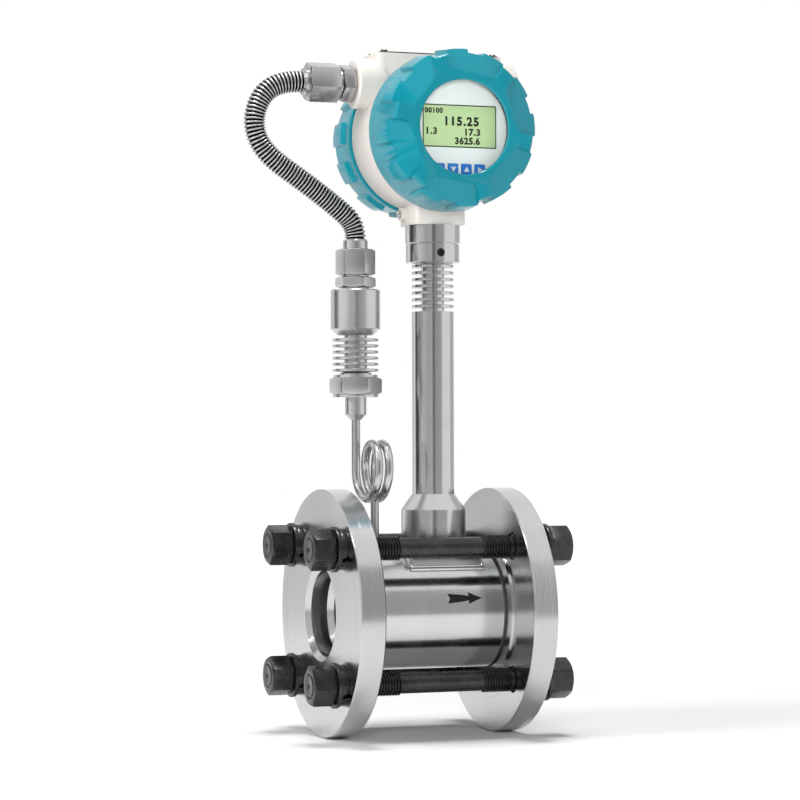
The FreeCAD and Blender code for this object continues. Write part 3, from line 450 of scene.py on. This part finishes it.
def makeConduit():
    # one ring of points for each step along the route, its radius following the ridges
    line = routePoints(conduitRoute)
    perRidge, around = len(conduit["heights"]), conduit["around"]
    steps, length = evenSteps(line, conduit["pitch"] / perRidge)
    mesh = bmesh.new()
    tall = mesh.verts.layers.float.new("ridge")
    side = Vector((0, 1, 0))
    rings = []
    for k, place in enumerate(steps):
        ahead = (steps[min(k + 1, len(steps) - 1)] - steps[max(k - 1, 0)]).normalized()
        up = ahead.cross(side).normalized()
        height = conduit["heights"][k % perRidge]
        radius = conduit["diameter"] / 2 - conduit["groove"] * (1 - height)
        rings.append([mesh.verts.new(place + (side * math.cos(a) + up * math.sin(a)) * radius)
                      for a in (2 * math.pi * n / around for n in range(around))])
        for v in rings[-1]:
            v[tall] = height
    for low, top in zip(rings, rings[1:]):
        for n in range(around):
            m = (n + 1) % around
            mesh.faces.new((low[n], low[m], top[m], top[n]))
    mesh.faces.new(rings[0][::-1])
    mesh.faces.new(rings[-1])
    bmesh.ops.recalc_face_normals(mesh, faces=mesh.faces)
    data = bpy.data.meshes.new("conduit")
    mesh.to_mesh(data)
    mesh.free()
    piece = addPiece("conduit", data)
    finishPiece(piece, "conduit", None, "conduit", ("flexible_conduit",), conduit["smoothAngle"])
    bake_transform(piece)
    print("conduit made, length", round(length, 4))


makeConduit()


# the studs: wound threads in the two stretches that show between the flanges, and a plain shank between
stud = {"radius": 0.008, "shank": 0.0068, "fromAxis": 0.0442, "around": 40, "smoothAngle": 40,
        "chamfer": 0.0012, "centreDepth": 0.0012, "centreRadius": 0.0020,
        "threads": ((0.0165, 0.0415), (0.0965, 0.1205)),      # where they start and end along X
        "pitch": 0.002, "depth": 0.0011, "steps": 24,
        "tooth": ((0.0, 0), (0.18, 0), (0.5, 1), (0.62, 1), (1.0, 0)),   # share of the pitch, of the depth
        "under": 0.0001, "runIn": 0.0005, "runOut": 0.001}    # the rod's own form beneath the threads
weldTooth, weldRod = 0.00001, 0.000001    # points this near to each other are joined


def turnedLine(name, points, screwOffset, steps, weld):
    # a line of (x, radius) wound or turned about X with the screw modifier
    data = bpy.data.meshes.new(name)
    data.from_pydata([(x, 0, r) for x, r in points], [(k, k + 1) for k in range(len(points) - 1)], [])
    piece = addPiece(name, data)
    wind = piece.modifiers.new("wind", "SCREW")
    wind.axis, wind.screw_offset, wind.steps, wind.render_steps = "X", screwOffset, steps, steps
    wind.use_merge_vertices, wind.merge_threshold = True, weld
    return piece, wind


def makeTeeth(start, end):
    root, pitch = stud["radius"] - stud["depth"], stud["pitch"]
    tooth = [(x * pitch, stud["radius"] if up else root) for x, up in stud["tooth"]]
    piece, wind = turnedLine("teeth", tooth, pitch, stud["steps"], weldTooth)
    wind.iterations = max(1, int((end - start) / pitch) - 1)
    applyModifiers(piece)
    piece.location = (start, 0, 0)
    applyPlace(piece)
    faceOutwards(piece, weldTooth)
    return piece


def makeRod():
    # the turned rod under the threads, with both ends chamfered, centre drilled and closed
    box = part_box("studs")
    low, high = box[0].x, box[1].x
    r, core, ease = stud["radius"], stud["shank"], stud["chamfer"]
    root = r - stud["depth"] - stud["under"]
    (a, b), (c, d) = stud["threads"]
    points = [(low + stud["centreDepth"], 0.0), (low, stud["centreRadius"]), (low, r - ease), (low + ease, r),
              (a, r), (a + stud["runIn"], root), (b - stud["runOut"], root), (b, core),
              (c, core), (c + stud["runOut"], root), (d - stud["runIn"], root), (d, r),
              (high - ease, r), (high, r - ease), (high, stud["centreRadius"]), (high - stud["centreDepth"], 0.0)]
    piece, _ = turnedLine("stud", points, 0.0, stud["around"], weldRod)
    applyModifiers(piece)
    faceOutwards(piece, weldRod)
    return piece


def makeStuds():
    # modelled once on the pipe's axis, then copied to the four holes
    rod = makeRod()
    teeth = [makeTeeth(start, end) for start, end in stud["threads"]]
    deselectAll()
    for piece in [rod] + teeth:
        piece.select_set(True)
    bpy.context.view_layer.objects.active = rod
    bpy.ops.object.join()
    off = stud["fromAxis"]
    for k, (y, z) in enumerate(((-off, -off), (-off, off), (off, -off), (off, off))):
        copy = addPiece("stud_%d" % (k + 1), rod.data.copy())
        copy.data.transform(Matrix.Translation((0, y, z)))
        finishPiece(copy, "stud_%d" % (k + 1), "meter", "bolting", ("studs",), stud["smoothAngle"])
    bpy.data.objects.remove(rod)
    print("studs made")


makeStuds()


# copies of the plain solids with their edges eased, as a casting's or a turned piece's are: widths in metres
eased = {
    "front_cap": 0.0009, "rear_cap": 0.0009, "housing": 0.0008, "top_plate": 0.00025, "plate_screws": 0.0002,
    "ground_screw": 0.0002, "inlet_nuts": 0.0004, "outlet_nuts": 0.0004, "mounting_pad": 0.0005,
    "entry_adapter": 0.0003, "upper_conduit_nut": 0.0003, "lower_conduit_nut": 0.0003, "lock_nut": 0.0003,
    "sensor_hex_base": 0.0003, "display": 0.0003, "inlet_flat_washers": 0.0005, "outlet_flat_washers": 0.0005,
    "inlet_spring_washers": 0.0006, "outlet_spring_washers": 0.0006,
    "enter_key": 0.0003, "down_key": 0.0003, "up_key": 0.0003, "right_key": 0.0003,
}
easing = {"weld": 0.000002, "flatWithin": 0.6, "segments": 2, "sharpest": 28, "smoothAngle": 32}   # angles in degrees


def easeSolid(node, width):
    piece = addPiece(node + "_eased", cadNodes[node].data.copy())
    makeActive(piece)
    bpy.ops.object.mode_set(mode="EDIT")
    bpy.ops.mesh.select_all(action="SELECT")
    bpy.ops.mesh.remove_doubles(threshold=easing["weld"])
    bpy.ops.mesh.dissolve_limited(angle_limit=math.radians(easing["flatWithin"]))
    bpy.ops.object.mode_set(mode="OBJECT")
    ease = piece.modifiers.new("ease", "BEVEL")
    ease.width, ease.segments = width, easing["segments"]
    ease.limit_method, ease.angle_limit = "ANGLE", math.radians(easing["sharpest"])
    ease.use_clamp_overlap = True
    applyModifiers(piece)
    finishPiece(piece, node + "_eased", nodeBody[node], nodeFinish[node], (node,),
                easing["smoothAngle"])


for name, width in eased.items():
    easeSolid(name, width)
print("solids eased:", len(eased))


# the display's figures: words, size, spacing, distance from the panel's left edge, height of the line under its top
readings = (
    ("00100", 0.0046, 1.12, 0.0014, 0.0056),
    ("115.25", 0.0078, 1.20, 0.0146, 0.0134),
    ("1.3", 0.0060, 1.2, 0.0016, 0.0196),
    ("17.3", 0.0060, 1.16, 0.0290, 0.0198),
    ("3625.6", 0.0060, 1.10, 0.0225, 0.0257),
)
lettering = {"thick": 0.00006, "bolder": 0.044, "fineness": 3, "lift": 0.00008, "border": 0.0006, "borderThick": 0.0001}
panelLow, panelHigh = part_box("display")
panelFront = panelLow.y - lettering["lift"]


def flatText(name, words, size, place, spacing):
    # figures that face the reader, made a mesh before they are placed
    data = bpy.data.curves.new(name, "FONT")
    data.body, data.size, data.extrude, data.space_character = words, size, lettering["thick"], spacing
    data.resolution_u, data.offset = lettering["fineness"], size * lettering["bolder"]
    makeActive(addPiece(name, data))
    bpy.ops.object.convert(target="MESH")
    piece = bpy.context.object
    piece.data.transform(Matrix.Translation(place) @ Matrix.Rotation(math.pi / 2, 4, "X"))
    finishPiece(piece, name, "head", "ink", (), 0)


def flatShape(name, outline, thickness, front, body, finish):
    # a thin flat shape from its corners (x, z), facing the reader at y = front
    data = bpy.data.meshes.new(name)
    data.from_pydata([(x, front, z) for x, z in outline], [], [tuple(range(len(outline)))])
    piece = addPiece(name, data)
    thicken(piece, thickness, -1.0)
    faceOutwards(piece)
    finishPiece(piece, name, body, finish, (), 0)


for k, (words, size, spacing, right, down) in enumerate(readings):
    place = (panelLow.x + right, panelFront, panelHigh.z - down)
    flatText("reading_%d" % (k + 1), words, size, place, spacing)

# a small square on the enter key, and a triangle turned its own way on each other key
keyMark = {"half": 0.0019, "square": 0.75, "squat": 0.8, "lift": 0.00008, "thick": 0.00012,
           "turns": {"down_key": 180, "up_key": 0, "right_key": -90, "enter_key": None}}


def makeKeyMark(node, turn):
    low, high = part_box(node)
    middleX, middleZ = (low.x + high.x) / 2, (low.z + high.z) / 2
    if turn is None:
        h = keyMark["half"] * keyMark["square"]
        corners = [(-h, -h), (h, -h), (h, h), (-h, h)]
    else:
        h, a = keyMark["half"], math.radians(turn)
        plain = [(-h, -h * keyMark["squat"]), (h, -h * keyMark["squat"]), (0, h)]
        corners = [(x * math.cos(a) - z * math.sin(a), x * math.sin(a) + z * math.cos(a)) for x, z in plain]
    flatShape(node + "_mark", [(middleX + x, middleZ + z) for x, z in corners], keyMark["thick"],
              low.y - keyMark["lift"], nodeBody[node], "mark")


for node, turn in keyMark["turns"].items():
    makeKeyMark(node, turn)


def makeBorder():
    # the thin dark line round the display: top, bottom, left and right
    left, right, bottom, top = panelLow.x, panelHigh.x, panelLow.z, panelHigh.z
    line = lettering["border"]
    sides = ((left, right, top - line, top), (left, right, bottom, bottom + line),
             (left, left + line, bottom, top), (right - line, right, bottom, top))
    for k, (x0, x1, z0, z1) in enumerate(sides):
        flatShape("display_border_%d" % (k + 1), [(x0, z0), (x1, z0), (x1, z1), (x0, z1)],
                  lettering["borderThick"], panelFront, "head", "ink")


makeBorder()

# the flow arrow; each strip is a share of the length, half a height, and how far its middle leads its edges
arrow = {"start": 0.0765, "end": 0.1008, "height": 0.0102, "radius": 0.03876, "rows": 8, "thick": 0.00008,
         "strips": ((0.0, 0.0033, 0.0018), (0.40, 0.0024, 0.0), (0.64, 0.0014, 0.0),
                    (0.60, 0.0040, 0.0010), (1.0, 0.00002, 0.0))}


def makeArrow():
    # laid round the tube in strips: a notched tail that narrows to the neck, and a long head
    length, rows, radius = arrow["end"] - arrow["start"], arrow["rows"], arrow["radius"]
    shape = bmesh.new()
    strips = []
    for share, half, lead in arrow["strips"]:
        strip = []
        for n in range(rows + 1):
            across = 2 * n / rows - 1
            x = arrow["start"] + share * length + lead * (1 - abs(across))
            turn = (arrow["height"] + across * half) / radius
            strip.append(shape.verts.new((x, -math.cos(turn) * radius, math.sin(turn) * radius)))
        strips.append(strip)
    shares = [strip[0] for strip in arrow["strips"]]
    for a, b, first, second in zip(shares, shares[1:], strips, strips[1:]):
        if b > a:   # the neck's end and the head's start aren't joined
            for n in range(rows):
                shape.faces.new((first[n], second[n], second[n + 1], first[n + 1]))
    bmesh.ops.recalc_face_normals(shape, faces=shape.faces)
    data = bpy.data.meshes.new("flow_arrow")
    shape.to_mesh(data)
    shape.free()
    piece = addPiece("flow_arrow", data)
    thicken(piece, arrow["thick"], 0.0)
    finishPiece(piece, "flow_arrow", "meter", "ink", (), 0)


makeArrow()
print("display and marks made")


# the studio: round the meter, from near to far, the floor turns from shaded to plain white
studio = {"floor": -0.0827, "floorSize": 12.0, "floorTone": 0.78, "floorRough": 0.8, "floorSpecular": 0.1,
          "centre": 0.07, "near": 0.28, "far": 0.75, "floorWhite": 1.15, "white": 1.0, "grey": 0.18}


def makeFloor():
    deselectAll()
    bpy.ops.mesh.primitive_plane_add(size=studio["floorSize"], location=(0, 0, studio["floor"]))
    floor = bpy.context.object
    floor.name = "floor"
    applyPlace(floor)
    s = Shader("floorWhite")
    s.set(color=(studio["floorTone"],) * 3, rough=studio["floorRough"], specular=studio["floorSpecular"])
    x, y, _ = s.split(s.point())
    away = ((x - studio["centre"]) * (x - studio["centre"]) + y * y).root()
    bare = s.add("ShaderNodeMapRange", {"interpolation_type": "SMOOTHSTEP"},
                 {0: away, 1: studio["near"], 2: studio["far"], 3: 0.0, 4: 1.0})
    plain = s.add("ShaderNodeEmission", {}, {"Color": (1.0, 1.0, 1.0), "Strength": studio["floorWhite"]})
    seen = s.rays("Is Camera Ray", "Is Glossy Ray")
    floor.data.materials.append(s.mixShaders(seen * bare, Wire(s, s.surface.outputs[0]), plain))


def makeWorld():
    # white to the camera and in reflections, a plain grey for everything else
    world = bpy.data.worlds.new("studio")
    bpy.context.scene.world = world
    s = Shader("studio", world)
    seen = s.rays("Is Camera Ray", "Is Glossy Ray", "Is Transmission Ray")
    shade = s.blend(seen, (studio["grey"],) * 3, (studio["white"],) * 3)
    s.feed(s.tree.nodes["Background"].inputs["Color"], shade)


def facing(place, aim):
    toward = (Vector(aim) - Vector(place)).normalized()
    return Matrix.Translation(place) @ toward.to_track_quat("-Z", "Y").to_matrix().to_4x4()


def makeLamp(name, place, aim, width, tall, power, inReflections):
    data = bpy.data.lights.new(name, "AREA")
    data.shape, data.size, data.size_y, data.energy = "RECTANGLE", width, tall, power
    lamp = addPiece(name, data)
    lamp.matrix_world = facing(place, aim)
    lamp.visible_camera = False
    lamp.visible_glossy = inReflections


def makeCard(name, place, aim, width, tall, shade):
    # a flag outside the picture: it gives bright metal something dark or pale to mirror
    deselectAll()
    bpy.ops.mesh.primitive_plane_add(size=1.0)
    card = bpy.context.object
    card.name = name
    card.scale = (width, tall, 1.0)
    applyPlace(card)
    card.data.transform(facing(place, aim))
    s = Shader(name)
    s.set(color=(0.0, 0.0, 0.0), rough=0.9, specular=0.0, glow=(shade,) * 3, glowStrength=1.0)
    card.data.materials.append(s.material)
    card.visible_camera = card.visible_diffuse = card.visible_shadow = False


aimPoint = (0.06, 0.0, 0.16)
lamps = (   # name, place, width, height, watts, whether metal mirrors it
    ("keyLamp", (-1.50, -0.22, 0.85), 0.7, 0.9, 22.0, True),
    ("frontLamp", (-0.42, -1.52, 0.42), 0.6, 0.5, 13.5, False),
    ("fillLamp", (1.2, -0.9, 0.5), 0.6, 1.1, 3.0, True),
    ("topLamp", (0.12, 0.05, 3.0), 0.7, 0.7, 74.0, True),
)
cards = (   # name, degrees round from the camera's side, width, brightness
    ("cardNear", 4, 0.28, 0.16), ("cardSideLeft", -42, 1.40, 0.50), ("cardBackLeft", -99, 0.56, 0.04),
    ("cardRight", 31, 0.72, 0.44), ("cardFarLeft", -152, 0.62, 0.68),
    ("cardRightSide", 76, 0.66, 0.95), ("cardBackRight", 128, 0.80, 0.58),
)
cardRing = {"cameraSide": -110.5, "height": 0.43, "tall": 1.02}   # they stand a metre from the meter's middle

makeFloor()
makeWorld()
for name, place, width, tall, power, inReflections in lamps:
    makeLamp(name, place, aimPoint, width, tall, power, inReflections)
for name, turn, width, shade in cards:
    a, height = math.radians(cardRing["cameraSide"] + turn), cardRing["height"]
    place = (aimPoint[0] + math.cos(a), math.sin(a), height)
    makeCard(name, place, (aimPoint[0], 0.0, height), width, cardRing["tall"], shade)

settings = bpy.context.scene.view_settings
settings.view_transform = "Standard"
print("studio made")
